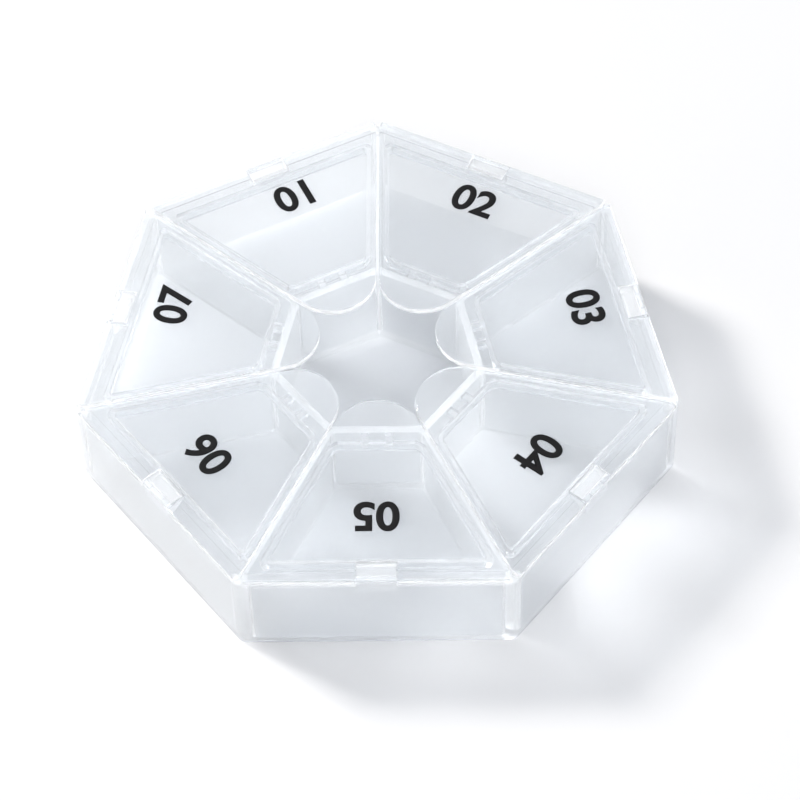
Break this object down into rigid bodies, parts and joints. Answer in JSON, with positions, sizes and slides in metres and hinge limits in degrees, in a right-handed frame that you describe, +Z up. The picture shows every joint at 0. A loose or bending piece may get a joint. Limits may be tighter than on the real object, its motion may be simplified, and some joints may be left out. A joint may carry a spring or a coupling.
{
  "type": "weekly pill box",
  "caption": "Many-sided weekly pill box in clear plastic: wedge compartments round a finger well, each under its own flat lid, hinged at the outer edge.",
  "frame": {"origin": "on the box's axis, at the middle of the finger well, in the plane that the base stands on", "axes": "+Z up through the lids, +Y towards the corner at the back, so that a flat side faces the front, -Y"},
  "size_m": [0.0992, 0.0967, 0.018],
  "materials": {
    "tray_plastic": "clear, slightly milky moulded polypropylene, smooth",
    "lid_plastic": "clear, slightly milky moulded polypropylene, smooth, with a black printed number"
  },
  "bodies": {
    "tray": {"tray": "tray_plastic"},
    "lid_1": {"lid_1": "lid_plastic"},
    "lid_2": {"lid_2": "lid_plastic"},
    "lid_3": {"lid_3": "lid_plastic"},
    "lid_4": {"lid_4": "lid_plastic"},
    "lid_5": {"lid_5": "lid_plastic"},
    "lid_6": {"lid_6": "lid_plastic"},
    "lid_7": {"lid_7": "lid_plastic"}
  },
  "joints": [
    {"name": "lid_1_hinge", "type": "hinge", "parent": "tray", "child": "lid_1", "pos_m": [-0.01963, 0.04077, 0.0173], "axis": [-0.901, -0.4339, 0], "range_deg": [0, 180]},
    {"name": "lid_2_hinge", "type": "hinge", "parent": "tray", "child": "lid_2", "pos_m": [0.01963, 0.04077, 0.0173], "axis": [-0.901, 0.4339, 0], "range_deg": [0, 180]},
    {"name": "lid_3_hinge", "type": "hinge", "parent": "tray", "child": "lid_3", "pos_m": [0.04412, 0.01007, 0.0173], "axis": [-0.2225, 0.9749, 0], "range_deg": [0, 180]},
    {"name": "lid_4_hinge", "type": "hinge", "parent": "tray", "child": "lid_4", "pos_m": [0.03538, -0.02821, 0.0173], "axis": [0.6235, 0.7818, 0], "range_deg": [0, 180]},
    {"name": "lid_5_hinge", "type": "hinge", "parent": "tray", "child": "lid_5", "pos_m": [0, -0.04525, 0.0173], "axis": [1, 0, 0], "range_deg": [0, 180]},
    {"name": "lid_6_hinge", "type": "hinge", "parent": "tray", "child": "lid_6", "pos_m": [-0.03538, -0.02821, 0.0173], "axis": [0.6235, -0.7818, 0], "range_deg": [0, 180]},
    {"name": "lid_7_hinge", "type": "hinge", "parent": "tray", "child": "lid_7", "pos_m": [-0.04412, 0.01007, 0.0173], "axis": [-0.2225, -0.9749, 0], "range_deg": [0, 180]}
  ]
}
